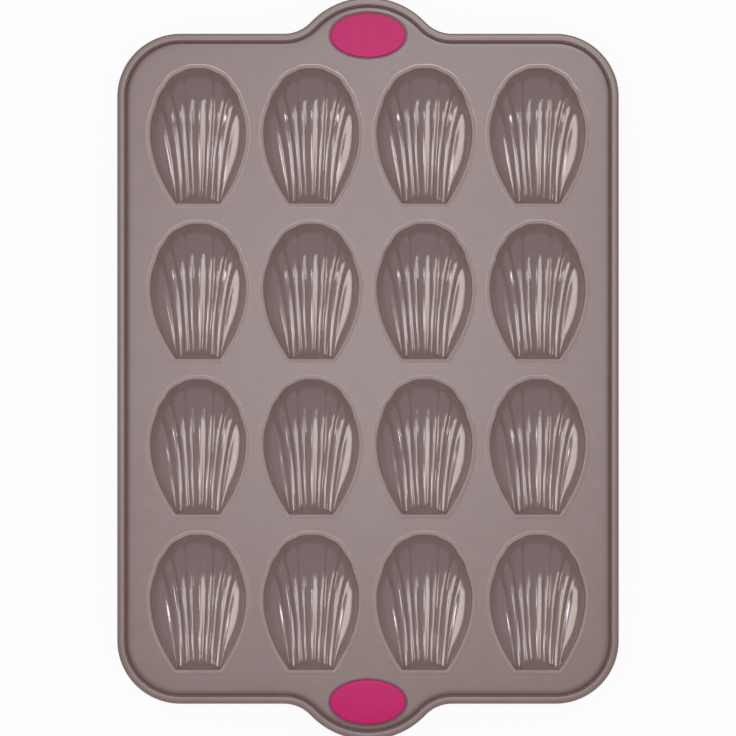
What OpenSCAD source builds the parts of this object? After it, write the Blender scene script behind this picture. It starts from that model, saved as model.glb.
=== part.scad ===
// Madeleine pan: one silicone moulding round a steel wire frame, with two oval grip inserts.
// The moulding is drawn as its regions (rim, web and shell-shaped cups), which meet face to face.
// X runs across the pan, Y along it and Z up. The origin is on the table under the pan's middle.
// Each cup's scalloped end points to +Y and its flat end to -Y.

/* [Pan] */
// Width across the long sides
body_w = 250; // [226:1:275]
// Length between the straight short sides, without the grips
body_l = 334; // [302:1:365]
// Outer radius of the four corners
corner_r = 31.5; // [22:0.5:40]
// Thickness of the flat web between the cups
web_t = 1.8; // [1.4:0.1:2.4]

/* [Rim] */
// Width of the rim from its outer face to the web
rim_w = 4.7; // [4.4:0.1:6]
// Width of the rim across its top
rim_top_w = 3.4; // [3:0.1:4]
// Height of the rim above the web
rim_rise = 3; // [2.6:0.1:5]
// Depth of the rim below the top of the web
rim_skirt = 3; // [2.8:0.1:5]
// Radius of the rim's rounded edges
rim_round = 1.1; // [0.6:0.1:1.3]

/* [Steel frame] */
// Diameter of the wire
wire_d = 2.2; // [1.6:0.1:2.4]
// Distance of the wire's centre from the rim's outer face
wire_inset = 2.1; // [2:0.1:2.3]

/* [Grips] */
// How far each grip reaches beyond the short side
grip_reach = 18; // [15:0.5:20]
// Radius of the grip's outer curve
grip_crown_r = 39.5; // [36:0.5:44]
// Radius of the hollow curve that leads into the grip
grip_fillet_r = 18.5; // [14:0.5:22]

/* [Grip inserts] */
// Width of the oval insert
insert_w = 38; // [34:0.5:42]
// Height of the oval insert, along the pan
insert_l = 22.4; // [19:0.2:24]
// Distance of the insert's centre inside the line of the short side
insert_inset = 0.6; // [0:0.1:2]
// How far the insert's middle stands above the web
insert_rise = 0.9; // [0.7:0.1:1.2]
// Radius of the insert's crowned top
insert_crown_r = 330; // [260:10:600]
// Depth of the pocket that the insert's upper flange lies in
pocket_depth = 0.8; // [0.5:0.1:1]
// Gap between the insert's upper flange and its pocket
pocket_gap = 0.5; // [0.3:0.1:0.8]
// Width of the flanges that hold the insert in its hole
flange_w = 1.4; // [1:0.1:2.5]
// Thickness of the flange under the web
under_flange_t = 1.2; // [0.8:0.1:2]

/* [Cups] */
// Number of cups across the pan
cup_columns = 4; // [4]
// Number of cups along the pan
cup_rows = 4; // [4]
// How much wider the plain band beside the cups is than the gap between two cups
side_band_extra = 2.85; // [1.5:0.05:4]
// How much wider the plain band at the ends is than the gap between two cups
end_band_extra = 1.9; // [0.8:0.1:3]
// Width of a cup's mouth inside its lip
cup_w = 47.6; // [42:0.2:49]
// Length of a cup's mouth inside its lip
cup_l = 67.2; // [60:0.2:70]
// Depth of a cup from the top of the web to its deepest flute
cup_depth = 16; // [13:0.5:20]
// Thickness of a cup's wall
cup_wall = 1.5; // [1.1:0.1:2]
// Radius of the rounded lip round a cup's mouth
lip_r = 1.6; // [1:0.1:2]
// Height of the ridges between the flutes
ridge_h = 1.3; // [0.6:0.1:1.8]
// Length of the sloping wall at the flat end, in plan and in the middle
end_wall = 2.9; // [2:0.1:4]
// How much is moulded flat under a cup, so that it stands
foot_cut = 0.5; // [0.4:0.05:0.7]

/* [Hidden] */
$fn = 96;
cup_names = [for (r = [1 : cup_rows], c = [1 : cup_columns]) str("cup_", r, "_", c)];

silicone_grey = [0.60, 0.53, 0.52];
silicone_pink = [0.83, 0.22, 0.50];
steel = [0.72, 0.73, 0.75];

// Height of the web's top above the table
web_z = cup_depth + cup_wall - foot_cut;
// The wire lies midway between the rim's top and its bottom edge
wire_z = (rim_rise - rim_skirt) / 2;
insert_y = body_l / 2 - insert_inset;
// Centre of the grip's outer curve, and the place where the hollow curve starts on the short side
crown_y = body_l / 2 + grip_reach - grip_crown_r;
fillet_y = body_l / 2 + grip_fillet_r;
fillet_x = sqrt(pow(grip_crown_r + grip_fillet_r, 2) - pow(fillet_y - crown_y, 2));
// The two curves meet on the line between their centres, at this place
meet = [0, crown_y] + grip_crown_r * unit([fillet_x, fillet_y - crown_y]);
// A sliver that keeps a cut from ending on a face
eps = 0.01;
// Lengths of the rim and the wire that meet end to end overlap by a hair, so that they join
lap = 0.000001;
// The cups are spread evenly over the web
gap_x = (body_w - 2 * (rim_w + side_band_extra) - cup_columns * cup_w) / (cup_columns + 1);
gap_y = (body_l - 2 * (rim_w + end_band_extra) - cup_rows * cup_l) / (cup_rows + 1);
pitch_x = cup_w + gap_x;
pitch_y = cup_l + gap_y;
// Straight sides that an oval is drawn with
oval_sides = 96;

// Cup form. A place in a cup is [s, t]. s runs across and is whole in the middle of a flute and
// halfway on a ridge. t runs from 0 at the flat end to 1 at the scalloped rim.
side_s = 4.5;
// Each line of constant s is a curve through a foot, a middle control point and a rim point,
// as shares of half the cup's width and length
foot_x = [[0, 0], [0.5, 0.065], [1.5, 0.195], [2.5, 0.33], [3.5, 0.455], [side_s, 0.465]];
middle_x = [[0, 0], [0.5, 0.14], [1.5, 0.315], [2.5, 0.43], [3.5, 0.68], [side_s, 1]];
middle_y = [[0, 0.24], [1.5, 0.24], [2.5, 0.42], [3.5, 0.42], [side_s, -0.46]];
// Corners of the scallops, the widest point, and the width of the flat end, as the same shares
notch_1 = [0.355, 0.93];
notch_2 = [0.695, 0.71];
notch_3 = [0.88, 0.44];
widest = [1, 0.055];
flat_end = 0.86;
// How far each scallop bulges from the line between its corners
crown_bulge = 2.5;
scallop_bulges = [1.25, 0.8, 0.7];
// Where the cup is deepest, how deep its flat end is, and how full its cross-section is
deepest_t = 0.55;
end_share = 0.47;
fullness = 2.4;
// The two middle ridges fade into the far wall between these places
middle_fade = [0.68, 0.80];
// The cup's underside follows the flutes with this share of their height, from this height
// above the table upwards. Below that they fade out, so that the foot is flat.
under_relief = 0.6;
foot_fade = 2;
// Lines and rows on which a cup's surface is worked out
cup_s = [-4.5, -4.25, -3.9, -3.5, -3, -2.5, -2, -1.5, -1, -0.5, 0,
         0.5, 1, 1.5, 2, 2.5, 3, 3.5, 3.9, 4.25, 4.5];
cup_t = [0, 0.2, 0.4, 0.55, 0.75, 0.9, 1];
last_s = len(cup_s) - 1;
last_t = len(cup_t);

function unit(v) = v / norm(v);
function outward(v) = unit([v.y, -v.x]);
function sized(p) = [p.x * cup_w / 2, p.y * cup_l / 2];
function bulged(a, b, bulge, f) = a + (b - a) * f + outward(a - b) * bulge * 4 * f * (1 - f);

// The scalloped end of the mouth, for s from 0 to the widest point
function half_rim(s) =
    let (corners = [sized(notch_1), sized(notch_2), sized(notch_3), sized(widest)])
    s <= 1.5 ? [corners[0].x * s / 1.5, corners[0].y + crown_bulge * (1 - pow(s / 1.5, 3))] :
    let (i = min(floor(s - 1.5), 2))
    bulged(corners[i], corners[i + 1], scallop_bulges[i], s - 1.5 - i);
function mirrored_if(flip, p) = flip ? [-p.x, p.y] : p;
function curve(a, b, c, t) = a * (1 - t) * (1 - t) + b * 2 * t * (1 - t) + c * t * t;

// Plan position of [s, t]
function plan(s, t) =
    let (a = abs(s),
         foot = [lookup(a, foot_x) * cup_w / 2, end_wall * across(a) - cup_l / 2],
         middle = sized([lookup(a, middle_x), lookup(a, middle_y)]))
    mirrored_if(s < 0, curve(foot, middle, half_rim(a), t));

// Depth of the plain bowl at [s, t], from the lip's inner edge down
function across(s) = sqrt(max(0, 1 - pow(abs(s) / side_s, fullness)));
function along(t) =
    let (reach = t > deepest_t ? 1 - deepest_t : deepest_t / sqrt(1 - end_share * end_share))
    sqrt(max(0, 1 - pow((t - deepest_t) / reach, 2)));
function bowl(s, t) = lip_r + (cup_depth - lip_r) * across(s) * along(t);

// Height of the ridges above the bowl, which fades out at the rim
function fade(f, range) = 1 - max(0, min(1, (f - range[0]) / (range[1] - range[0])));
function relief(s, t) =
    let (g = s - round(s), a = abs(s))
    a > side_s - 0.5 ? 0 :
    ridge_h * 4 * g * g * (1 - pow(t, 6)) * (a < 1 ? fade(t, middle_fade) : 1);

function inside_point(s, t) = concat(plan(s, t), [relief(s, t) - bowl(s, t)]);

// The underside lies a wall's thickness outside the bowl, square to it, and is flat where it stands
function bowl_point(s, t) = concat(plan(s, t), [-bowl(s, t)]);
function bowl_normal(s, t, d = 0.02) =
    unit(cross(bowl_point(s, t + d) - bowl_point(s, max(t - d, 0)),
               bowl_point(s + d, t) - bowl_point(s - d, t)));
function end_normal(s) =
    let (top = [0, -cup_l / 2, -lip_r], foot = bowl_point(s, 0))
    unit([0, top.z - foot.z, foot.y - top.y] * -1);
function mitre(a, b) = (a + b) / (1 + a * b);
function under_point(s, t) =
    let (n = bowl_normal(s, t),
         way = t == 0 ? mitre(n, end_normal(s)) : n,
         p = bowl_point(s, t) + way * cup_wall,
         above_table = max(0, p.z + web_z),
         share = under_relief * min(1, above_table / foot_fade))
    [p.x, p.y, above_table - web_z + share * relief(s, t)];

// Mouth of the cup as one loop, anticlockwise from the flat end's left corner
function end_corner(s) = [plan(s, 0).x * flat_end, -cup_l / 2];
function flat_side() = [for (s = cup_s) end_corner(s)];
function right_side() = [for (t = cup_t) plan(side_s, t)];
function far_side() = [for (i = [last_s - 1 : -1 : 0]) plan(cup_s[i], 1)];
function left_side() = [for (j = [len(cup_t) - 2 : -1 : 0]) plan(-side_s, cup_t[j])];
mouth = concat(flat_side(), right_side(), far_side(), left_side());
mouth_n = len(mouth);
mouth_out = [for (i = [0 : mouth_n - 1])
    outward(unit(mouth[(i + 1) % mouth_n] - mouth[i])
            + unit(mouth[i] - mouth[(i + mouth_n - 1) % mouth_n]))];
function grown(d) = [for (i = [0 : mouth_n - 1]) mouth[i] + mouth_out[i] * d];
function at_height(loop, z) = [for (p = loop) [p.x, p.y, z]];

// Grid of the inside and of the underside. Row 0 is the top of the flat end's wall.
function grid_at(i, j) = j * (last_s + 1) + i;
inside_grid = concat(
    [for (s = cup_s) concat(end_corner(s), [-lip_r])],
    [for (t = cup_t, s = cup_s) inside_point(s, t)]);
// The grid's edge in the same order as the mouth loop
edge_cells = concat(
    [for (i = [0 : last_s]) [i, 0]],
    [for (j = [1 : last_t]) [last_s, j]],
    [for (i = [last_s - 1 : -1 : 0]) [i, last_t]],
    [for (j = [last_t - 1 : -1 : 1]) [0, j]]);
function edge_place(i, j) =
    j == 0 ? i :
    i == last_s ? last_s + j :
    j == last_t ? last_s + last_t + (last_s - i) :
    2 * last_s + last_t + (last_t - j);
function on_edge(i, j) = i == 0 || i == last_s || j == 0 || j == last_t;
under_edge = at_height(grown(lip_r), -web_t);
under_grid = [for (j = [0 : last_t], i = [0 : last_s])
    on_edge(i, j) ? under_edge[edge_place(i, j)] : under_point(cup_s[i], cup_t[j - 1])];

// Faces between two rings of points, and over a grid
function ring_faces(a, b) = [for (k = [0 : mouth_n - 1]) let (m = (k + 1) % mouth_n)
    each [[a[k], a[m], b[m]], [a[k], b[m], b[k]]]];
function grid_faces(first, flip) = [for (j = [0 : last_t - 1], i = [0 : last_s - 1])
    let (a = first + grid_at(i, j), b = first + grid_at(i + 1, j),
         c = first + grid_at(i + 1, j + 1), d = first + grid_at(i, j + 1))
    each (i < last_s / 2) == (j > 3)
        ? (flip ? [[a, b, d], [b, c, d]] : [[a, d, b], [b, d, c]])
        : (flip ? [[a, b, c], [a, c, d]] : [[a, c, b], [a, d, c]])];

// One cup's shell with its rounded lip, its mouth's middle at the origin and the web's top at 0
module cup_shell() {
    grid_n = len(inside_grid);
    under_first = grid_n;
    lip_mid_first = 2 * grid_n;
    lip_top_first = lip_mid_first + mouth_n;
    // A quarter round: its middle point lies this share of the radius from either side
    mid = lip_r * (1 - cos(45));
    points = concat(inside_grid, under_grid, at_height(grown(mid), -mid), at_height(grown(lip_r), 0));
    inside_ring = [for (c = edge_cells) grid_at(c[0], c[1])];
    under_ring = [for (k = inside_ring) under_first + k];
    mid_ring = [for (k = [0 : mouth_n - 1]) lip_mid_first + k];
    top_ring = [for (k = [0 : mouth_n - 1]) lip_top_first + k];
    polyhedron(points, concat(
        grid_faces(0, false),
        grid_faces(under_first, true),
        ring_faces(inside_ring, mid_ring),
        ring_faces(mid_ring, top_ring),
        ring_faces(top_ring, under_ring)));
}

// Centre of a cup. Row 1 is the far row and column 1 is on the left, as the pan is seen from above.
function cup_at(row, column) =
    [(column - (cup_columns + 1) / 2) * pitch_x, ((cup_rows + 1) / 2 - row) * pitch_y];

module cup(row, column) {
    color(silicone_grey)
    translate([cup_at(row, column).x, cup_at(row, column).y, web_z])
    cup_shell();
}

// Path round the pan, which carries a profile drawn with X inwards from the outer face and Y up
module straight_run(from, heading, length) {
    translate([from.x, from.y, 0])
    rotate([0, 0, heading])
    rotate([90, 0, 90])
    linear_extrude(length)
    children();
}

module bend(centre, radius, start, sweep, hollow = false) {
    translate([centre.x, centre.y, 0])
    rotate([0, 0, start])
    rotate_extrude(angle = sweep)
    translate([radius, 0])
    mirror([hollow ? 0 : 1, 0])
    children();
}

// What lies inside an upright prism on a plan polygon
module within(plan_points) {
    intersection() {
        children();
        translate([0, 0, -2 * rim_skirt])
        linear_extrude(2 * (rim_skirt + rim_rise)) polygon(plan_points);
    }
}

module quarter_path() {
    corner = [body_w / 2 - corner_r, body_l / 2 - corner_r];
    straight_run([body_w / 2, 0], 90, corner.y + lap) children();
    bend(corner, corner_r, 0, 90) children();
    straight_run([corner.x + lap, body_l / 2], 180, corner.x - fillet_x + 2 * lap) children();
    within([[0, crown_y + lap], [fillet_x, fillet_y + lap], [fillet_x, crown_y]])
        bend([fillet_x, fillet_y], grip_fillet_r, 180, 90, true) children();
    within([[0, crown_y], [fillet_x, fillet_y], [fillet_x, 2 * fillet_y], [0, 2 * fillet_y]])
        bend([0, crown_y], grip_crown_r, 0, 90) children();
}

module round_the_pan() {
    for (flip_x = [0, 1], flip_y = [0, 1])
        mirror([flip_x, 0, 0])
        mirror([0, flip_y, 0])
        quarter_path() children();
}

// Where a line from p touches a circle, on the side away from the pan's outer face
function touch_point(p, centre, radius) =
    let (away = p - centre, turn = acos(radius / norm(away)), base = atan2(away.y, away.x))
    centre + radius * [cos(base + turn), sin(base + turn)];

module rim_profile() {
    outer_top = [rim_round, rim_rise - rim_round];
    inner_top = [rim_top_w - rim_round, rim_rise - rim_round];
    outer_foot = [rim_round, rim_round - rim_skirt];
    inner_foot = [rim_top_w - rim_round, rim_round - rim_skirt];
    web_top = [rim_w, 0];
    web_under = [rim_w, -web_t];
    slope_top = touch_point(web_top, inner_top, rim_round);
    difference() {
        union() {
            for (c = [outer_top, inner_top, outer_foot, inner_foot])
                translate(c) circle(rim_round);
            polygon([
                [0, outer_foot.y], [0, outer_top.y], [outer_top.x, rim_rise], [inner_top.x, rim_rise],
                slope_top, web_top, web_under, [rim_top_w, inner_foot.y],
                [inner_foot.x, -rim_skirt], [outer_foot.x, -rim_skirt]]);
        }
        translate([wire_inset, wire_z]) circle(d = wire_d);
    }
}

module rim() {
    color(silicone_grey)
    translate([0, 0, web_z])
    round_the_pan()
    rim_profile();
}

module frame_wire() {
    color(steel)
    translate([0, 0, web_z])
    round_the_pan()
    translate([wire_inset, wire_z]) circle(d = wire_d);
}

// Outline of the pan, moved inwards by a distance, in true arcs
module pan_outline(inset) {
    r = corner_r - inset;
    w = body_w - 2 * inset;
    l = body_l - 2 * inset;
    inner_meet = meet - inset * unit([fillet_x, fillet_y - crown_y]);
    square([w, l - 2 * r], center = true);
    square([w - 2 * r, l], center = true);
    for (x = [-1, 1], y = [-1, 1])
        translate([x * (w / 2 - r), y * (l / 2 - r)]) circle(r);
    for (y = [0, 1])
        mirror([0, y]) {
            translate([0, crown_y]) circle(grip_crown_r - inset);
            difference() {
                polygon([[-fillet_x, l / 2 - r], [fillet_x, l / 2 - r], [fillet_x, l / 2],
                         inner_meet, [-inner_meet.x, inner_meet.y], [-fillet_x, l / 2]]);
                for (x = [-1, 1])
                    translate([x * fillet_x, fillet_y]) circle(grip_fillet_r + inset);
            }
        }
}

// The insert's oval, grown all round by a margin
module oval(margin) {
    polygon([for (i = [0 : oval_sides - 1]) let (a = 360 * i / oval_sides)
        [(insert_w / 2 + margin) * cos(a), (insert_l / 2 + margin) * sin(a)]]);
}

module web() {
    color(silicone_grey)
    translate([0, 0, web_z - web_t])
    difference() {
        linear_extrude(web_t)
        difference() {
            pan_outline(rim_w);
            for (r = [1 : cup_rows], c = [1 : cup_columns])
                translate(cup_at(r, c)) polygon(grown(lip_r));
        }
        for (y = [-1, 1])
            translate([0, y * insert_y, 0]) {
                translate([0, 0, -eps]) linear_extrude(web_t) oval(-flange_w);
                translate([0, 0, web_t - pocket_depth]) linear_extrude(pocket_depth + eps) oval(pocket_gap);
            }
    }
}

// The insert is a plug with a flange in the pocket above the web and another below the web
module grip_insert(side) {
    color(silicone_pink)
    translate([0, side * insert_y, web_z]) {
        intersection() {
            translate([0, 0, -pocket_depth]) linear_extrude(pocket_depth + insert_rise) oval(0);
            translate([0, 0, insert_rise - insert_crown_r]) sphere(insert_crown_r, $fn = 360);
        }
        translate([0, 0, -web_t]) linear_extrude(web_t - pocket_depth) oval(-flange_w);
        translate([0, 0, -web_t - under_flange_t]) linear_extrude(under_flange_t) oval(0);
    }
}

web();
rim();
frame_wire();
grip_insert(1);  // grip_insert_far
grip_insert(-1);  // grip_insert_near
for (r = [1 : cup_rows], c = [1 : cup_columns])
    cup(r, c);
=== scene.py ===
import logging
import math
from bisect import bisect_right
from dataclasses import dataclass, field
from enum import Enum
from typing import Any, Iterable, Sequence

import bmesh
import bpy
from mathutils import Matrix, Vector


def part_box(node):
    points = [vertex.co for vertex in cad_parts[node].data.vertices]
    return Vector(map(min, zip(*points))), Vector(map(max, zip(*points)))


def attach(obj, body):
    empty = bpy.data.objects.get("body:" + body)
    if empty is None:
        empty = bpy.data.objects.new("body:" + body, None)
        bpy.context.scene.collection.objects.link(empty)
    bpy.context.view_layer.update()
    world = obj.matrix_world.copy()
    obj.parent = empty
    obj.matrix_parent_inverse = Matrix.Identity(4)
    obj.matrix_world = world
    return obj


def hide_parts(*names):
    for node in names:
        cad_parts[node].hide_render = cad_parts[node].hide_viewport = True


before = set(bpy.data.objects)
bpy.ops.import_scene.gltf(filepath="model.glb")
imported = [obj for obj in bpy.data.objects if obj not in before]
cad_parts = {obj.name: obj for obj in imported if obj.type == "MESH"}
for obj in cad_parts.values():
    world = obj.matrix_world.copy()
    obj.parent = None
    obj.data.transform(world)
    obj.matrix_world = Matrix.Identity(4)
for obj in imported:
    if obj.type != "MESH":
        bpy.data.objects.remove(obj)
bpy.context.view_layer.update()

logging.basicConfig(level=logging.INFO, format="%(message)s")
log = logging.getLogger("madeleine_pan")

BODY = "root"
IMAGE_SIDE_PX = 736
SHARP_ANGLE = math.radians(40)
MM_PER_METRE = 1000
# Vertices nearer than this, in millimetres, are one place
WELD = 1e-4
COURSE_WELD = 1e-3

Table = tuple[tuple[float, float], ...]


def mm(value: float) -> float:
    """Millimetres as metres."""
    return value * 0.001


def linear(hex_colour: str) -> tuple[float, float, float, float]:
    """An sRGB hex colour as linear RGBA."""
    def channel(pair: str) -> float:
        """One channel's two hex digits as a linear value."""
        c = int(pair, 16) / 255
        return c / 12.92 if c <= 0.04045 else ((c + 0.055) / 1.055) ** 2.4
    text = hex_colour.lstrip("#")
    return (channel(text[0:2]), channel(text[2:4]), channel(text[4:6]), 1.0)


def between(x: float, table: Sequence[tuple[float, float]]) -> float:
    """A value read from a table of (place, value) along straight lines.

    Args:
        x: The place, which is held to the table's ends.
        table: Pairs in rising order of place.

    Returns:
        The value at x.
    """
    places = [row[0] for row in table]
    if x <= places[0]:
        return table[0][1]
    if x >= places[-1]:
        return table[-1][1]
    i = bisect_right(places, x) - 1
    (x0, y0), (x1, y1) = table[i], table[i + 1]
    return y0 + (y1 - y0) * (x - x0) / (x1 - x0)


def add_node(tree: bpy.types.NodeTree, kind: str, values: dict[str, Any] | None = None,
             links: dict[str, bpy.types.NodeSocket] | None = None, **settings: Any) -> bpy.types.Node:
    """Adds a node with its settings, input values and links.

    Args:
        tree: The node tree.
        kind: The node's type name.
        values: Values for inputs, by input name or number.
        links: Sockets to link to inputs, by input name or number.
        **settings: Attributes of the node.

    Returns:
        The new node.
    """
    node = tree.nodes.new(kind)
    for name, value in settings.items():
        setattr(node, name, value)
    for name, value in (values or {}).items():
        node.inputs[name].default_value = value
    for name, socket in (links or {}).items():
        tree.links.new(socket, node.inputs[name])
    return node


def new_tree(owner: bpy.types.Material | bpy.types.World) -> bpy.types.NodeTree:
    """Gives a material or world an empty node tree."""
    owner.use_nodes = True
    owner.node_tree.nodes.clear()
    return owner.node_tree


@dataclass(frozen=True)
class MouldedSilicone:
    """Platinum-cured silicone, pressed in a steel mould.

    The face is satin, as the mould is blasted there. The hollows of the cups come from polished
    cores and are glossier. A slow waviness bends the reflections, as soft rubber is never flat.
    """

    name: str
    colour: str
    colour_deep: str
    # Roughness of the satin face, of the polished hollows and of the raised edge, which use rubs matt
    roughness: float
    polish: float
    rubbed_edge_and_highlight: float = 0.85
    # Colours painted on the cups alone: a paler fill light in the hollows, against their shade, and a
    # highlight on the raised edge
    hollow_fill_light_colour: str = "#ffffff"
    edge_highlight_colour: str = "#ffffff"
    # How far below the face the polish and the painted fill light are full, and how strong that fill light
    # is
    polish_depth_mm: float = 1.2
    hollow_depth_mm: float = 1.5
    hollow_fill_light_share: float = 0.8
    # Heights above the face between which the edge turns matt, and at which its painted highlight is full
    matt_from_mm: float = 0.01
    matt_to_mm: float = 0.06
    edge_highlight_height_mm: float = 0.1
    # The specular level
    gloss: float = 0.5
    # Silicone blooms to a faint powder that shows at grazing angles
    bloom: float = 0.06
    bloom_roughness: float = 0.4
    ior: float = 1.41
    mottle_mm: float = 9.0
    wave_mm: float = 26.0
    wave_height_mm: float = 0.05
    # The blasted grain is really about 0.1 mm. It is drawn coarser, so that it shows at all.
    grain_mm: float = 0.5
    grain_height_mm: float = 0.012

    def material(self, face: float | None = None) -> bpy.types.Material:
        """Makes the material.

        Args:
            face: Height in metres of the face that the cups are sunk in, for the cups. Below it the
                surface is polished and painted paler as fill light against the hollows' shade, and the edge
                raised above it is rubbed matt and painted paler as a highlight.

        Returns:
            The material.
        """
        mat = bpy.data.materials.new(self.name if face is None else f"{self.name}_cups")
        tree = new_tree(mat)
        place = add_node(tree, "ShaderNodeTexCoord").outputs["Object"]
        mottle = add_node(tree, "ShaderNodeTexNoise", {"Scale": 1 / mm(self.mottle_mm), "Detail": 3.0,
                                                      "Roughness": 0.6}, {"Vector": place})
        shade = add_node(tree, "ShaderNodeMix", {6: linear(self.colour), 7: linear(self.colour_deep)},
                         {0: mottle.outputs["Fac"]}, data_type="RGBA")
        wave = add_node(tree, "ShaderNodeTexNoise", {"Scale": 1 / mm(self.wave_mm), "Detail": 1.0},
                        {"Vector": place})
        grain = add_node(tree, "ShaderNodeTexNoise", {"Scale": 1 / mm(self.grain_mm), "Detail": 2.0},
                         {"Vector": place})
        slow = add_node(tree, "ShaderNodeBump", {"Strength": 1.0, "Distance": mm(self.wave_height_mm)},
                        {"Height": wave.outputs["Fac"]})
        fine = add_node(tree, "ShaderNodeBump", {"Strength": 1.0, "Distance": mm(self.grain_height_mm)},
                        {"Height": grain.outputs["Fac"], "Normal": slow.outputs["Normal"]})
        shader = add_node(tree, "ShaderNodeBsdfPrincipled", {"Roughness": self.roughness, "IOR": self.ior,
                                                             "Specular IOR Level": self.gloss,
                                                             "Sheen Weight": self.bloom,
                                                             "Sheen Roughness": self.bloom_roughness},
                          {"Base Color": shade.outputs[2], "Normal": fine.outputs["Normal"]})
        if face is not None:
            height = add_node(tree, "ShaderNodeSeparateXYZ", links={"Vector": place}).outputs["Z"]
            rough = add_node(tree, "ShaderNodeMapRange",
                             {"From Min": face - mm(self.polish_depth_mm), "From Max": face,
                              "To Min": self.polish, "To Max": self.roughness},
                             {"Value": height}, interpolation_type="SMOOTHSTEP")
            matt = add_node(tree, "ShaderNodeMapRange",
                            {"From Min": face + mm(self.matt_from_mm),
                             "From Max": face + mm(self.matt_to_mm), "To Max": self.rubbed_edge_and_highlight},
                            {"Value": height})
            lip = add_node(tree, "ShaderNodeMath",
                           links={0: rough.outputs["Result"], 1: matt.outputs["Result"]},
                           operation="MAXIMUM")
            tree.links.new(lip.outputs[0], shader.inputs["Roughness"])
            # Painted fill light: the hollows turn paler and greyer as they sink, against their shade
            sunk = add_node(tree, "ShaderNodeMapRange",
                            {"From Min": face, "From Max": face - mm(self.hollow_depth_mm),
                             "To Max": self.hollow_fill_light_share},
                            {"Value": height})
            hollow = add_node(tree, "ShaderNodeMix", {7: linear(self.hollow_fill_light_colour)},
                              {0: sunk.outputs["Result"], 6: shade.outputs[2]}, data_type="RGBA")
            # Painted highlight: the raised edge turns paler as it rises above the face
            rubbed_edge_and_highlight = add_node(tree, "ShaderNodeMapRange",
                              {"From Min": face, "From Max": face + mm(self.edge_highlight_height_mm)},
                              {"Value": height})
            edge = add_node(tree, "ShaderNodeMix", {7: linear(self.edge_highlight_colour)},
                            {0: rubbed_edge_and_highlight.outputs["Result"], 6: hollow.outputs[2]}, data_type="RGBA")
            tree.links.new(edge.outputs[2], shader.inputs["Base Color"])
        add_node(tree, "ShaderNodeOutputMaterial", links={"Surface": shader.outputs["BSDF"]})
        return mat


@dataclass(frozen=True)
class DrawnWire:
    """Drawn steel wire: the die's fine marks give it a soft shine. It is sealed in the rim."""

    name: str = "drawn_steel_wire"
    colour: str = "#b9bbbf"
    roughness: float = 0.3
    mark_mm: float = 0.15
    mark_height_mm: float = 0.004

    def material(self) -> bpy.types.Material:
        """Makes the material."""
        mat = bpy.data.materials.new(self.name)
        tree = new_tree(mat)
        place = add_node(tree, "ShaderNodeTexCoord").outputs["Object"]
        marks = add_node(tree, "ShaderNodeTexNoise", {"Scale": 1 / mm(self.mark_mm), "Detail": 2.0},
                         {"Vector": place})
        bump = add_node(tree, "ShaderNodeBump", {"Strength": 1.0, "Distance": mm(self.mark_height_mm)},
                        {"Height": marks.outputs["Fac"]})
        shader = add_node(tree, "ShaderNodeBsdfPrincipled",
                          {"Base Color": linear(self.colour), "Metallic": 1.0, "Roughness": self.roughness},
                          {"Normal": bump.outputs["Normal"]})
        add_node(tree, "ShaderNodeOutputMaterial", links={"Surface": shader.outputs["BSDF"]})
        return mat


def make_piece(bm: bmesh.types.BMesh, name: str, material: bpy.types.Material,
               replaced: Iterable[str]) -> bpy.types.Object:
    """Turns a bmesh into a finished piece that rides on the pan.

    Args:
        bm: The shape, in metres in the row's frame. It is freed.
        name: The piece's name.
        material: The finish.
        replaced: The CAD nodes it stands for.

    Returns:
        The new object.
    """
    mesh = bpy.data.meshes.new(name)
    bm.to_mesh(mesh)
    bm.free()
    return place_piece(mesh, name, material, replaced)


def place_piece(mesh: bpy.types.Mesh, name: str, material: bpy.types.Material,
                replaced: Iterable[str]) -> bpy.types.Object:
    """Its arguments are make_piece's."""
    mesh.shade_smooth()
    mesh.set_sharp_from_angle(angle=SHARP_ANGLE)
    mesh.materials.clear()
    mesh.materials.append(material)
    piece = bpy.data.objects.new(name, mesh)
    bpy.context.scene.collection.objects.link(piece)
    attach(piece, BODY)
    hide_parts(*replaced)
    log.info("%s: %d faces", name, len(mesh.polygons))
    return piece


def add_loop(bm: bmesh.types.BMesh, points: Sequence[Vector]) -> list[bmesh.types.BMEdge]:
    """Adds a closed loop of edges through some points and returns the edges."""
    verts = [bm.verts.new(p) for p in points]
    return [bm.edges.new((verts[i - 1], verts[i])) for i in range(len(verts))]


def extrude_loop(bm: bmesh.types.BMesh, edges: Sequence[bmesh.types.BMEdge]) -> tuple[
        list[bmesh.types.BMEdge], dict[bmesh.types.BMVert, bmesh.types.BMVert]]:
    """Extrudes a loop of edges in place.

    Args:
        bm: The bmesh.
        edges: The loop.

    Returns:
        The new loop's edges, and each old vertex's new one.
    """
    old = {v for e in edges for v in e.verts}
    made = bmesh.ops.extrude_edge_only(bm, edges=edges)["geom"]
    new_verts = {g for g in made if isinstance(g, bmesh.types.BMVert)}
    new_edges = [g for g in made if isinstance(g, bmesh.types.BMEdge)
                 and g.verts[0] in new_verts and g.verts[1] in new_verts]
    pairs = {v: next(e.other_vert(v) for e in v.link_edges if e.other_vert(v) in new_verts)
             for v in old}
    return new_edges, pairs


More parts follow.
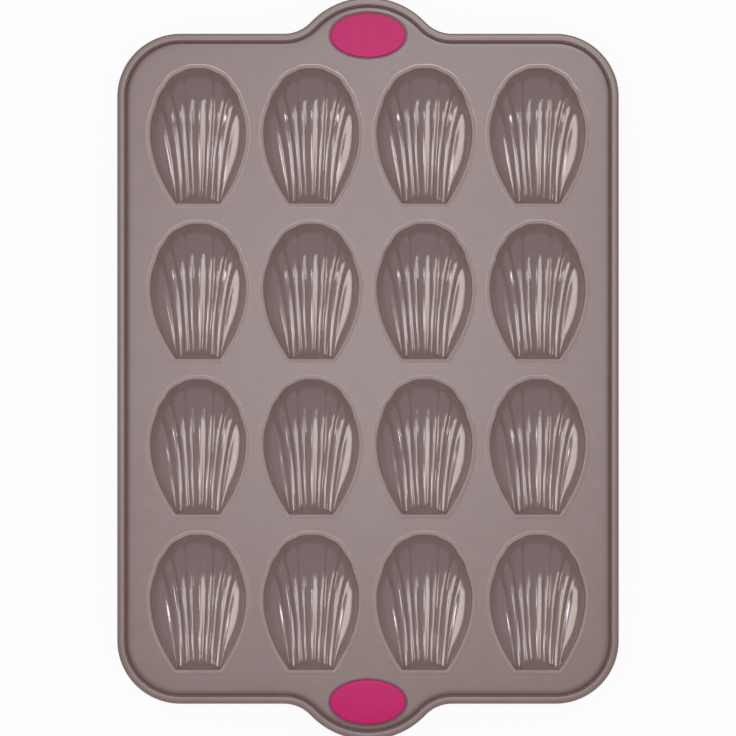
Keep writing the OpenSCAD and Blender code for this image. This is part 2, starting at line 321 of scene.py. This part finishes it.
@dataclass(frozen=True)
class ShellForm:
    """The form of one cup, with the names of the solid it stands for.

    The mouth's width and the foot of the flat end's wall differ slightly from the solid's.
    A place in a cup is (s, t). s runs across and is whole in the middle of a flute and halfway on
    a ridge. t runs from 0 at the flat end to 1 at the scalloped rim. Plan places are millimetres
    from the middle of the mouth and heights are millimetres from the top of the web.
    """

    width: float = 47.3
    length: float = 67.2
    depth: float = 16.0
    wall: float = 1.5
    lip_r: float = 1.6
    ridge_h: float = 1.3
    ridge_round: float = 0.16
    # The flat end's wall: how far its foot stands in at the middle, and the power of the foot's curve
    end_wall: float = 3.1
    end_round: float = 2.4
    foot_cut: float = 0.5
    web_t: float = 1.8
    side_s: float = 4.5
    foot_x: Table = ((0, 0), (0.5, 0.065), (1.5, 0.195), (2.5, 0.33), (3.5, 0.455), (4.5, 0.465))
    middle_x: Table = ((0, 0), (0.5, 0.14), (1.5, 0.315), (2.5, 0.43), (3.5, 0.68), (4.5, 1))
    middle_y: Table = ((0, 0.24), (1.5, 0.24), (2.5, 0.42), (3.5, 0.42), (4.5, -0.46))
    corners: Table = ((0.355, 0.93), (0.695, 0.71), (0.88, 0.44), (1, 0.055))
    flat_end: float = 0.86
    # s where the middle segment of the scalloped end stops, how far it bulges, and the others' bulges
    crown_s: float = 1.5
    crown_bulge: float = 2.0
    scallop_bulges: tuple[float, ...] = (1.25, 0.8, 0.7)
    deepest_t: float = 0.55
    end_share: float = 0.47
    fullness: float = 2.4
    middle_fade: tuple[float, float] = (0.68, 0.80)
    under_relief: float = 0.6
    foot_fade: float = 2.0
    # How finely the surface is drawn
    columns: int = 132
    rows: int = 54
    end_rows: int = 6
    lip_land: float = 0.9
    # The lip from the wall's top outwards, as (margin, height): steep, with a fine raised edge
    lip: Table = ((0.02, -1.2), (0.05, -0.8), (0.1, -0.45), (0.2, -0.18), (0.36, 0.0), (0.58, 0.1),
                  (0.85, 0.13), (1.15, 0.12), (1.5, 0.09), (1.9, 0.045), (2.25, 0.01), (2.5, 0.0))
    # The faint swelling on the far wall: its middle and half its length in t, half its width in s
    swell_t: float = 0.81
    swell_long: float = 0.062
    swell_wide: float = 1.2
    swell_h: float = 0.4

    @property
    def height(self) -> float:
        """Height of the web's top above the table."""
        return self.depth + self.wall - self.foot_cut

    def sized(self, share: Sequence[float]) -> Vector:
        """A share of half the mouth's width and length as a plan place."""
        return Vector((share[0] * self.width / 2, share[1] * self.length / 2))

    def scalloped_end(self, s: float) -> Vector:
        """The mouth's edge at the scalloped end, for s from 0 to the widest point."""
        points = [self.sized(c) for c in self.corners]
        if s <= self.crown_s:
            bulge = self.crown_bulge * (1 - (s / self.crown_s) ** 3)
            return Vector((points[0].x * s / self.crown_s, points[0].y + bulge))
        i = min(int(s - self.crown_s), len(self.scallop_bulges) - 1)
        f = s - self.crown_s - i
        a, b = points[i], points[i + 1]
        run = (a - b).normalized()
        outward = Vector((run.y, -run.x))
        return a + (b - a) * f + outward * self.scallop_bulges[i] * 4 * f * (1 - f)

    def plan(self, s: float, t: float) -> Vector:
        """Plan place of (s, t)."""
        a = abs(s)
        half = between(a, self.foot_x)
        to_corner = half / self.foot_x[-1][1]
        inset = self.end_wall * (1 - to_corner ** self.end_round)
        foot = Vector((half * self.width / 2, inset - self.length / 2))
        middle = self.sized((between(a, self.middle_x), between(a, self.middle_y)))
        rim = self.scalloped_end(a)
        p = foot * (1 - t) ** 2 + middle * 2 * t * (1 - t) + rim * t * t
        return Vector((-p.x, p.y)) if s < 0 else p

    def across(self, s: float) -> float:
        """Depth of a cross-section at s as a share of its middle's."""
        return math.sqrt(max(0.0, 1 - (abs(s) / self.side_s) ** self.fullness))

    def bowl(self, s: float, t: float) -> float:
        """Depth of the plain bowl at (s, t)."""
        if t > self.deepest_t:
            reach = 1 - self.deepest_t
        else:
            reach = self.deepest_t / math.sqrt(1 - self.end_share ** 2)
        along = math.sqrt(max(0.0, 1 - ((t - self.deepest_t) / reach) ** 2))
        return self.lip_r + (self.depth - self.lip_r) * self.across(s) * along

    def relief(self, s: float, t: float) -> float:
        """Height above the bowl: the ridges, with slightly rounded crests, and the faint swelling."""
        a = abs(s)
        if a > self.side_s - 0.5:
            return 0.0
        g = abs(s - round(s))
        to_crest = math.hypot(1 - 2 * g, self.ridge_round) - math.hypot(1, self.ridge_round) + 1
        fade = 1.0
        if a < 1:
            lo, hi = self.middle_fade
            x = min(1.0, max(0.0, (t - lo) / (hi - lo)))
            fade = 1 - x * x * (3 - 2 * x)
        away = (s / self.swell_wide) ** 2 + ((t - self.swell_t) / self.swell_long) ** 2
        rise = min(1.0, max(0.0, 1 - away))
        swell = self.swell_h * rise * rise * (3 - 2 * rise)
        return self.ridge_h * (1 - to_crest) ** 2 * (1 - t ** 6) * fade + swell

    def inside(self, s: float, t: float) -> Vector:
        """Place on the cup's inside, or on the flat end's wall for t from 0 down to -1."""
        if t < 0:
            return self.inside(s, 0).lerp(self.end_top(s), -t)
        p = self.plan(s, t)
        return Vector((p.x, p.y, self.relief(s, t) - self.bowl(s, t)))

    def bowl_point(self, s: float, t: float) -> Vector:
        """Place on the plain bowl."""
        p = self.plan(s, t)
        return Vector((p.x, p.y, -self.bowl(s, t)))

    def underside(self, s: float, t: float) -> Vector:
        """Place on the cup's underside, a wall's thickness outside the bowl and flat at the foot."""
        d = 0.02
        s_in = max(-self.side_s + d, min(self.side_s - d, s))
        t_in = min(t, 1 - d)
        along = self.bowl_point(s_in, t_in + d) - self.bowl_point(s_in, max(t_in - d, 0))
        across = self.bowl_point(s_in + d, t_in) - self.bowl_point(s_in - d, t_in)
        normal = along.cross(across).normalized()
        p = self.bowl_point(s, t) + normal * self.wall
        above = max(0.0, p.z + self.height)
        share = self.under_relief * min(1.0, above / self.foot_fade)
        return Vector((p.x, p.y, above - self.height + share * self.relief(s, t)))

    def end_top(self, s: float) -> Vector:
        """Place at the top of the flat end's wall."""
        return Vector((self.plan(s, 0).x * self.flat_end, -self.length / 2, -self.lip_r))

    def at_grid(self, x: float, y: float) -> tuple[float, float]:
        """(s, t) of a place on a grid from -1 to 1. t runs below 0 on the flat end's wall.

        The lines crowd together towards the steep sides and the scalloped rim.
        """
        s = self.side_s * math.sin(x * math.pi / 2)
        k = (y + 1) / 2 * (self.rows + self.end_rows) - self.end_rows
        if k < 0:
            return s, k / self.end_rows
        return s, math.sin(k / self.rows * math.pi / 2)

    def grown(self, p: Vector, margin: float, z: float) -> Vector:
        """A place on the mouth's edge moved out by a margin, at height z."""
        return Vector((p.x * (1 + 2 * margin / self.width), p.y * (1 + 2 * margin / self.length), z))


@dataclass
class Cup:
    """One cup of the moulding, with its rounded lip and a narrow flat land round it."""

    form: ShellForm
    mesh: bpy.types.Mesh | None = None
    edge: list[Vector] = field(default_factory=list)

    def grid(self, bm: bmesh.types.BMesh) -> dict[bmesh.types.BMVert, tuple[float, float]]:
        """Adds a flat grid and returns each vertex's (s, t)."""
        f = self.form
        made = bmesh.ops.create_grid(bm, x_segments=f.columns, y_segments=f.rows + f.end_rows, size=1)
        return {v: f.at_grid(v.co.x, v.co.y) for v in made["verts"]}

    def shape_inside(self, places: dict[bmesh.types.BMVert, tuple[float, float]]) -> None:
        """Sinks a flat grid to the cup's inside and the flat end's wall."""
        f = self.form
        for v, (s, t) in places.items():
            v.co = f.inside(s, t)

    def shape_underside(self, places: dict[bmesh.types.BMVert, tuple[float, float]],
                        rim: dict[bmesh.types.BMVert, Vector]) -> None:
        """Sinks a flat grid to the cup's underside.

        Args:
            places: Each vertex's (s, t).
            rim: The plan places of the vertices on its edge.
        """
        f = self.form
        for v, (s, t) in places.items():
            if v in rim:
                v.co = rim[v]
            elif t >= 0:
                v.co = f.underside(s, t)
            else:
                foot = f.underside(s, 0)
                top = f.grown(f.end_top(s), f.lip_r, -f.web_t)
                v.co = foot.lerp(top, -t)

    def build(self) -> None:
        """Makes the cup's mesh about the middle of its mouth, and the outer edge of its land."""
        f = self.form
        bm = bmesh.new()
        places = self.grid(bm)
        self.shape_inside(places)
        loop = [e for e in bm.edges if e.is_boundary]
        base = {v: v.co.copy() for e in loop for v in e.verts}
        for margin, z in f.lip + ((f.lip_r + f.lip_land, -f.web_t),):
            loop, pairs = extrude_loop(bm, loop)
            base = {pairs[v]: p for v, p in base.items()}
            for v, p in base.items():
                v.co = f.grown(p, margin, z)
        under = self.grid(bm)
        under_loop = [e for e in bm.edges if e.is_boundary and e.verts[0] in under]
        rim = {}
        for v in {v for e in under_loop for v in e.verts}:
            s, t = under[v]
            rim[v] = f.grown(f.inside(s, t), f.lip_r + f.lip_land, -f.web_t)
        self.shape_underside(under, rim)
        bmesh.ops.remove_doubles(bm, verts=list(base) + list(rim), dist=WELD)
        bmesh.ops.recalc_face_normals(bm, faces=bm.faces)
        bmesh.ops.transform(bm, matrix=Matrix.Scale(mm(1), 4), verts=bm.verts)
        self.edge = self.land_edge()
        self.mesh = bpy.data.meshes.new("cup")
        bm.to_mesh(self.mesh)
        bm.free()

    def land_edge(self) -> list[Vector]:
        """The outer edge of the land as one closed loop, in metres about the mouth's middle."""
        f = self.form
        bm = bmesh.new()
        places = self.grid(bm)
        self.shape_inside(places)
        start = min(places, key=lambda v: (places[v][0], places[v][1]))
        loop, here, before = [], start, None
        while True:
            loop.append(f.grown(here.co, f.lip_r + f.lip_land, 0) * mm(1))
            step = next(e.other_vert(here) for e in here.link_edges
                        if e.is_boundary and e.other_vert(here) is not before)
            here, before = step, here
            if here is start:
                break
        bm.free()
        return loop

    def stand(self, name: str, at: Vector, material: bpy.types.Material) -> bpy.types.Object:
        """Puts a copy of the cup where a CAD node is.

        Args:
            name: The CAD node's name.
            at: The middle of the mouth, at the web's top.
            material: The finish.

        Returns:
            The piece.
        """
        mesh = self.mesh.copy()
        mesh.transform(Matrix.Translation(at))
        return place_piece(mesh, f"shell_{name}", material, [name])


@dataclass(frozen=True)
class Course:
    """The pan's outline in plan, which a profile is swept along."""

    width: float
    length: float
    # How far the grips reach past the body, and the radii of its corners, the grips and their hollows
    reach: float = 18.0
    corner_r: float = 31.5
    crown_r: float = 39.5
    hollow_r: float = 18.5
    # How finely each stretch is drawn
    corner_steps: int = 40
    crown_steps: int = 56
    hollow_steps: int = 18
    side_steps: int = 40
    end_steps: int = 8

    @classmethod
    def round_box(cls, low: Vector, high: Vector) -> "Course":
        """The course of a pan whose rim fills a box, given by its corners in metres."""
        return cls(width=(high.x - low.x) * MM_PER_METRE,
                   length=(high.y - low.y) * MM_PER_METRE - 2 * cls.reach)

    def sweep(self, bm: bmesh.types.BMesh, profile: Sequence[tuple[float, float]], closed: bool) -> None:
        """Sweeps a profile once round the pan.

        Args:
            bm: The bmesh to draw in.
            profile: Places as (distance in from the outer face, height above the web's top).
            closed: Whether the profile's last place joins its first.
        """
        crown_y = self.length / 2 + self.reach - self.crown_r
        hollow_y = self.length / 2 + self.hollow_r
        hollow_x = math.sqrt((self.crown_r + self.hollow_r) ** 2 - (hollow_y - crown_y) ** 2)
        meet = math.atan2(hollow_y - crown_y, hollow_x)
        corner = Vector((self.width / 2 - self.corner_r, self.length / 2 - self.corner_r, 0))
        quarter = math.pi / 2
        up, left = Vector((0, 2 * corner.y, 0)), Vector((hollow_x - corner.x, 0, 0))
        half = [
            (Vector(), up / self.side_steps, 0.0, self.side_steps),
            (corner, Vector(), quarter, self.corner_steps),
            (Vector(), left / self.end_steps, 0.0, self.end_steps),
            (Vector((hollow_x, hollow_y, 0)), Vector(), meet - quarter, self.hollow_steps),
            (Vector((0, crown_y, 0)), Vector(), math.pi - 2 * meet, self.crown_steps),
            (Vector((-hollow_x, hollow_y, 0)), Vector(), meet - quarter, self.hollow_steps),
            (Vector(), left / self.end_steps, 0.0, self.end_steps),
            (Vector((-corner.x, corner.y, 0)), Vector(), quarter, self.corner_steps),
        ]
        other = [(-cent, -move, angle, steps) for cent, move, angle, steps in half]
        verts = [bm.verts.new((self.width / 2 - u, -corner.y, z)) for u, z in profile]
        pairs = list(zip(verts, verts[1:])) + ([(verts[-1], verts[0])] if closed else [])
        edges = [bm.edges.new(p) for p in pairs]
        geom = verts + edges
        for cent, move, angle, steps in half + other:
            made = bmesh.ops.spin(bm, geom=geom, cent=cent, axis=(0, 0, 1), dvec=move, angle=angle,
                                  steps=steps, use_merge=False, use_duplicate=False)
            geom = made["geom_last"]
        bmesh.ops.remove_doubles(bm, verts=bm.verts, dist=COURSE_WELD)


def rounded(points: Sequence[tuple[float, float, float]], segments: int = 6) -> list[tuple[float, float]]:
    """Rounds the corners of a closed profile with vertex bevels.

    Args:
        points: Corners as (x, z, length that the rounding takes from each side).
        segments: Segments in each rounding.

    Returns:
        The rounded profile's places in order.
    """
    bm = bmesh.new()
    verts = [bm.verts.new((x, 0, z)) for x, z, _ in points]
    for i in range(len(verts)):
        bm.edges.new((verts[i - 1], verts[i]))
    for v, (_, _, take) in zip(list(verts), points):
        if take:
            bmesh.ops.bevel(bm, geom=[v], offset=take, offset_type="OFFSET", affect="VERTICES",
                            segments=segments, profile=0.5, material=-1)
    bm.verts.ensure_lookup_table()
    start = min(bm.verts, key=lambda v: (v.co.z, v.co.x))
    order, before, here = [], None, start
    while here is not start or not order:
        order.append((here.co.x, here.co.z))
        nxt = [e.other_vert(here) for e in here.link_edges if e.other_vert(here) is not before]
        before, here = here, nxt[0]
    bm.free()
    return order


@dataclass(frozen=True)
class Oval:
    """An insert's oval in plan."""

    width: float = 38.0
    length: float = 22.4
    sides: int = 120

    def loop(self, margin: float, z: float) -> list[Vector]:
        """The oval grown all round by a margin, at a height, as places in millimetres."""
        return [self.place(2 * math.pi * i / self.sides, margin, z) for i in range(self.sides)]

    def place(self, angle: float, margin: float, z: float) -> Vector:
        """One place on that loop, in millimetres."""
        return Vector(((self.width / 2 + margin) * math.cos(angle),
                       (self.length / 2 + margin) * math.sin(angle), z))


@dataclass(frozen=True)
class Web:
    """The flat web between the cups, with a stepped pocket for each insert."""

    course: Course
    oval: Oval
    rim_width: float = 6.6
    thickness: float = 1.8
    # Each pocket's depth, the gap that it leaves round the insert, and how far its floor reaches in
    pocket_depth: float = 1.6
    pocket_gap: float = 0.95
    flange: float = 1.4

    def build(self, top: float, cups: Sequence[tuple[Vector, Sequence[Vector]]],
              inserts: Sequence[Vector], material: bpy.types.Material) -> bpy.types.Object:
        """Makes the web.

        Args:
            top: Height of its top in metres.
            cups: Each cup's middle and its land's outer edge about that middle.
            inserts: The middle of each insert.
            material: The finish.

        Returns:
            The piece.
        """
        bm = bmesh.new()
        self.course.sweep(bm, [(self.rim_width, 0)], closed=False)
        bmesh.ops.transform(bm, matrix=Matrix.Scale(mm(1), 4), verts=bm.verts)
        loops = [list(bm.edges)]
        for at, edge in cups:
            loops.append(add_loop(bm, [Vector((p.x + at.x, p.y + at.y, 0)) for p in edge]))
        mouth = self.oval.loop(self.pocket_gap, 0)
        pockets = [add_loop(bm, [p * mm(1) + Vector((at.x, at.y, 0)) for p in mouth]) for at in inserts]
        bmesh.ops.triangle_fill(bm, use_beauty=True, edges=bm.edges, normal=(0, 0, 1))
        bottom = []
        for loop in loops:
            new, pairs = extrude_loop(bm, loop)
            bmesh.ops.translate(bm, vec=(0, 0, mm(-self.thickness)), verts=list(pairs.values()))
            bottom += new
        for at, loop in zip(inserts, pockets):
            for margin, z in ((self.pocket_gap, -self.pocket_depth), (-self.flange, -self.pocket_depth),
                              (-self.flange, -self.thickness)):
                loop, pairs = extrude_loop(bm, loop)
                for v in pairs.values():
                    angle = math.atan2((v.co.y - at.y) / self.oval.length,
                                       (v.co.x - at.x) / self.oval.width)
                    v.co = self.oval.place(angle, margin, z) * mm(1) + Vector((at.x, at.y, 0))
            bottom += loop
        bmesh.ops.triangle_fill(bm, use_beauty=True, edges=bottom, normal=(0, 0, -1))
        bmesh.ops.recalc_face_normals(bm, faces=bm.faces)
        bmesh.ops.translate(bm, vec=(0, 0, top), verts=bm.verts)
        return make_piece(bm, "web_sheet", material, ["web"])


@dataclass(frozen=True)
class Rim:
    """The bead round the pan, with a crease where it meets the web."""

    web: Web
    bead: float = 3.8
    rise: float = 3.0
    skirt: float = 3.0
    # The top's outer and inner rounding and the skirt's
    outer_round: float = 1.3
    inner_round: float = 0.6
    skirt_round: float = 0.9
    # How much narrower the bead is at its top, and the crease at its foot
    lean: float = 0.1
    crease: float = 0.5
    # The crease's side towards the web: (distance from the bead, share of its depth, rounding)
    crease_side: tuple[tuple[float, float, float], ...] = (
        (1.5, 0.12, 0.5), (0.7, 0.5, 0.3), (0.25, 1.0, 0.15), (0, 1.0, 0.1))

    def build(self, top: float, material: bpy.types.Material) -> bpy.types.Object:
        """Makes the rim.

        Args:
            top: Height of the web's top in metres.
            material: The finish.

        Returns:
            The piece.
        """
        width, under = self.web.rim_width, -self.web.thickness
        profile = rounded([
            (0, -self.skirt, self.skirt_round), (self.bead, -self.skirt, self.skirt_round),
            (self.bead, under, 0), (width, under, 0), (width, 0, 0),
            *((self.bead + out, -self.crease * share, take) for out, share, take in self.crease_side),
            (self.bead - self.lean, self.rise, self.inner_round), (0, self.rise, self.outer_round)])
        bm = bmesh.new()
        self.web.course.sweep(bm, profile, closed=True)
        bmesh.ops.recalc_face_normals(bm, faces=bm.faces)
        place = Matrix.Translation((0, 0, top)) @ Matrix.Scale(mm(1), 4)
        bmesh.ops.transform(bm, matrix=place, verts=bm.verts)
        return make_piece(bm, "rim_bead", material, ["rim"])


class Grip(Enum):
    """Which grip an insert is in: the CAD node that it stands for."""

    FAR = "grip_insert_far"
    NEAR = "grip_insert_near"


@dataclass(frozen=True)
class Insert:
    """A bare oval insert: a low pillow with a flange above the web and one below it."""

    web: Web
    rise: float = 0.55
    edge_rise: float = 0.45
    edge_r: float = 0.7
    under_t: float = 1.2
    # The lower flange's edge below the web: (margin, height above its underside)
    under_edge: Table = ((0, 0.4), (-0.15, 0.12), (-0.4, 0))
    # Rings in the pillow and in its rounded edge, and how near the middle the first ring is
    pillow_rings: int = 8
    edge_rings: int = 8
    first_ring: float = 0.98

    def rings(self) -> list[tuple[float, float]]:
        """Its surface from the middle of its top to the middle of its underside, as (margin, height)."""
        web, n = self.web, self.pillow_rings
        inmost = -web.oval.length / 2 * self.first_ring
        fall = self.rise - self.edge_rise
        top = [(inmost * (1 - k / n), self.rise - fall * (k / n) ** 2) for k in range(n)]
        top = [(m, z) for m, z in top if m < -self.edge_r]
        edge = [(-self.edge_r * (1 - math.sin(a)), self.edge_rise - self.edge_r * (1 - math.cos(a)))
                for a in (math.pi / 2 * k / self.edge_rings for k in range(self.edge_rings + 1))]
        under = -web.thickness - self.under_t
        neck = [(0, -web.pocket_depth), (-web.flange, -web.pocket_depth), (-web.flange, -web.thickness),
                (0, -web.thickness)]
        return top + edge + neck + [(m, under + z) for m, z in self.under_edge] + [(inmost, under)]

    def build(self, grip: Grip, at: Vector, material: bpy.types.Material) -> bpy.types.Object:
        """Makes an insert.

        Args:
            grip: The grip it is in.
            at: Its middle at the web's top, in metres.
            material: The finish.

        Returns:
            The piece.
        """
        bm = bmesh.new()
        oval, rings = self.web.oval, self.rings()
        loop = add_loop(bm, oval.loop(*rings[0]))
        angles = {v: 2 * math.pi * i / oval.sides for i, v in enumerate(bm.verts)}
        bmesh.ops.contextual_create(bm, geom=loop)
        for margin, z in rings[1:]:
            loop, pairs = extrude_loop(bm, loop)
            angles = {pairs[v]: a for v, a in angles.items()}
            for v, a in angles.items():
                v.co = oval.place(a, margin, z)
        bmesh.ops.contextual_create(bm, geom=loop)
        bmesh.ops.recalc_face_normals(bm, faces=bm.faces)
        place = Matrix.Translation(at) @ Matrix.Scale(mm(1), 4)
        bmesh.ops.transform(bm, matrix=place, verts=bm.verts)
        return make_piece(bm, f"oval_{grip.name.lower()}", material, [grip.value])


@dataclass(frozen=True)
class Lamp:
    """A soft studio lamp, aimed at the pan's middle. It adds shine, and the sky the even light."""

    name: str
    place: tuple[float, float, float]
    size: tuple[float, float]
    watts: float
    colour: str = "#ffffff"
    # The window lamps draw the streaks in the polished hollows. On the flat face they would burn
    # out to white in a low view, so they light the cups alone.
    only_cups: bool = False

    def light(self, cups: bpy.types.Collection) -> None:
        """Adds the lamp. cups are the pieces that a lamp for the cups alone lights."""
        data = bpy.data.lights.new(self.name, "AREA")
        data.shape = "RECTANGLE"
        data.size, data.size_y = self.size
        data.energy = self.watts
        data.color = linear(self.colour)[:3]
        lamp = bpy.data.objects.new(self.name, data)
        lamp.location = self.place
        lamp.rotation_euler = (-Vector(self.place)).to_track_quat("-Z", "Y").to_euler()
        lamp.visible_diffuse = False
        if self.only_cups:
            lamp.light_linking.receiver_collection = cups
        bpy.context.scene.collection.objects.link(lamp)


@dataclass(frozen=True)
class Studio:
    """A white floor and surround, soft lamps and a camera straight above the pan."""

    camera_height: float = 1.6
    mm_per_pixel: float = 0.499
    centre_px: tuple[float, float] = (368.0, 368.75)
    sensor_mm: float = 36.0
    floor_side: float = 4.0
    # The floor lies just under the pan's feet, and keeps a little of its shadow in the camera's view
    floor_gap_mm: float = 0.2
    floor_colour: str = "#f4f4f4"
    floor_white: float = 0.94
    sky_light: float = 0.84
    lamps: tuple[Lamp, ...] = (
        Lamp("overhead_lamp", (-0.02, 0.015, 2.0), (0.35, 0.35), 12.5),
        Lamp("left_window", (-0.8, 0.37, 1.25), (1.7, 0.7), 35.0, only_cups=True),
        Lamp("left_window_low", (-1.25, 0.5, 0.75), (1.8, 0.8), 45.0, "#fff0dc", only_cups=True),
        Lamp("far_lamp", (0.2, 0.77, 1.72), (0.8, 0.45), 22.0),
    )

    def white_to_camera(self, tree: bpy.types.NodeTree, shader: bpy.types.NodeSocket,
                        share: float) -> bpy.types.NodeSocket:
        """Mixes a shader with plain white for what the camera, gloss and glass see.

        Args:
            tree: The node tree.
            shader: The shader that lights and shades.
            share: How much of what the camera and reflections see is plain white.

        Returns:
            The mixed shader.
        """
        rays = add_node(tree, "ShaderNodeLightPath").outputs
        shine = add_node(tree, "ShaderNodeMath",
                         links={0: rays["Is Glossy Ray"], 1: rays["Is Transmission Ray"]},
                         operation="MAXIMUM")
        view = add_node(tree, "ShaderNodeMath", links={0: rays["Is Camera Ray"], 1: shine.outputs[0]},
                        operation="MAXIMUM")
        seen = add_node(tree, "ShaderNodeMath", {1: share}, {0: view.outputs[0]}, operation="MULTIPLY")
        white = add_node(tree, "ShaderNodeEmission" if share < 1 else "ShaderNodeBackground",
                         {"Color": (1, 1, 1, 1), "Strength": 1.0})
        mix = add_node(tree, "ShaderNodeMixShader",
                       links={0: seen.outputs[0], 1: shader, 2: white.outputs[0]})
        return mix.outputs[0]

    def floor(self) -> None:
        """Adds the floor that the pan stands on."""
        bm = bmesh.new()
        bmesh.ops.create_grid(bm, x_segments=1, y_segments=1, size=self.floor_side / 2)
        mesh = bpy.data.meshes.new("floor")
        bm.to_mesh(mesh)
        bm.free()
        floor = bpy.data.objects.new("floor", mesh)
        floor.location.z = -mm(self.floor_gap_mm)
        bpy.context.scene.collection.objects.link(floor)
        mat = bpy.data.materials.new("white_sweep")
        tree = new_tree(mat)
        paper = add_node(tree, "ShaderNodeBsdfDiffuse", {"Color": linear(self.floor_colour)})
        surface = self.white_to_camera(tree, paper.outputs[0], self.floor_white)
        add_node(tree, "ShaderNodeOutputMaterial", links={"Surface": surface})
        mesh.materials.append(mat)

    def sky(self) -> None:
        """Fills the world with even light that the camera sees as white."""
        world = bpy.data.worlds.new("studio")
        bpy.context.scene.world = world
        tree = new_tree(world)
        fill = add_node(tree, "ShaderNodeBackground",
                        {"Color": (1, 1, 1, 1), "Strength": self.sky_light})
        surface = self.white_to_camera(tree, fill.outputs[0], 1.0)
        add_node(tree, "ShaderNodeOutputWorld", links={"Surface": surface})

    def camera(self, level: float) -> None:
        """Adds the camera.

        Args:
            level: Height of the plane at which the photograph's scale was measured.
        """
        data = bpy.data.cameras.new("camera")
        data.sensor_width = self.sensor_mm
        data.lens = data.sensor_width * self.camera_height / mm(self.mm_per_pixel * IMAGE_SIDE_PX)
        camera = bpy.data.objects.new("camera", data)
        half = IMAGE_SIDE_PX / 2
        camera.location = (mm((half - self.centre_px[0]) * self.mm_per_pixel),
                           mm((self.centre_px[1] - half) * self.mm_per_pixel),
                           level + self.camera_height)
        bpy.context.scene.collection.objects.link(camera)
        bpy.context.scene.camera = camera

    def build(self, level: float, cups: Iterable[bpy.types.Object]) -> None:
        """Adds everything.

        Args:
            level: Height of the camera's plane of scale.
            cups: The cups' pieces.
        """
        lit = bpy.data.collections.new("cups_lit_by_windows")
        for cup in cups:
            lit.objects.link(cup)
        self.camera(level)
        self.floor()
        self.sky()
        for lamp in self.lamps:
            lamp.light(lit)
        bpy.context.scene.view_settings.view_transform = "Standard"


def middle(node: str, height: float) -> Vector:
    """The middle of a CAD node's box in plan, at a height in metres."""
    low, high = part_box(node)
    return Vector(((low.x + high.x) / 2, (low.y + high.y) / 2, height))


def main() -> None:
    """Builds and dresses the pan."""
    form = ShellForm()
    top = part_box("web")[1].z
    course = Course.round_box(*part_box("rim"))

    # The cups' hollow colour is painted fill light, and their edge colour is a painted highlight
    grey = MouldedSilicone("grey_moulded_silicone", "#846b69", "#755f5c", roughness=0.35, polish=0.12,
                           hollow_fill_light_colour="#8d7978", edge_highlight_colour="#968180")
    sheet_material = grey.material()
    cup_material = grey.material(face=top)
    pink = MouldedSilicone("pink_moulded_silicone", "#d01c70", "#c01866", roughness=0.35, polish=0.35,
                           gloss=0.12)
    pink_material = pink.material()
    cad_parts["frame_wire"].material_slots[0].material = DrawnWire().material()

    cup = Cup(form)
    cup.build()
    cups, shells = [], []
    for name in sorted(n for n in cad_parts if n.startswith("cup_")):
        # The mouth is symmetrical about its middle across, and its lip ends where its box does.
        at = middle(name, top)
        lip_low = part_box(name)[0].y
        at.y = lip_low + mm(form.length / 2 + form.lip_r)
        shells.append(cup.stand(name, at, cup_material))
        cups.append((at, cup.edge))

    inserts = {grip: middle(grip.value, top) for grip in Grip}
    web = Web(course, Oval())
    web.build(top, cups, list(inserts.values()), sheet_material)
    Rim(web).build(top, sheet_material)
    for grip, at in inserts.items():
        Insert(web).build(grip, at, pink_material)

    Studio().build(top, shells)


if __name__ == "__main__":
    main()
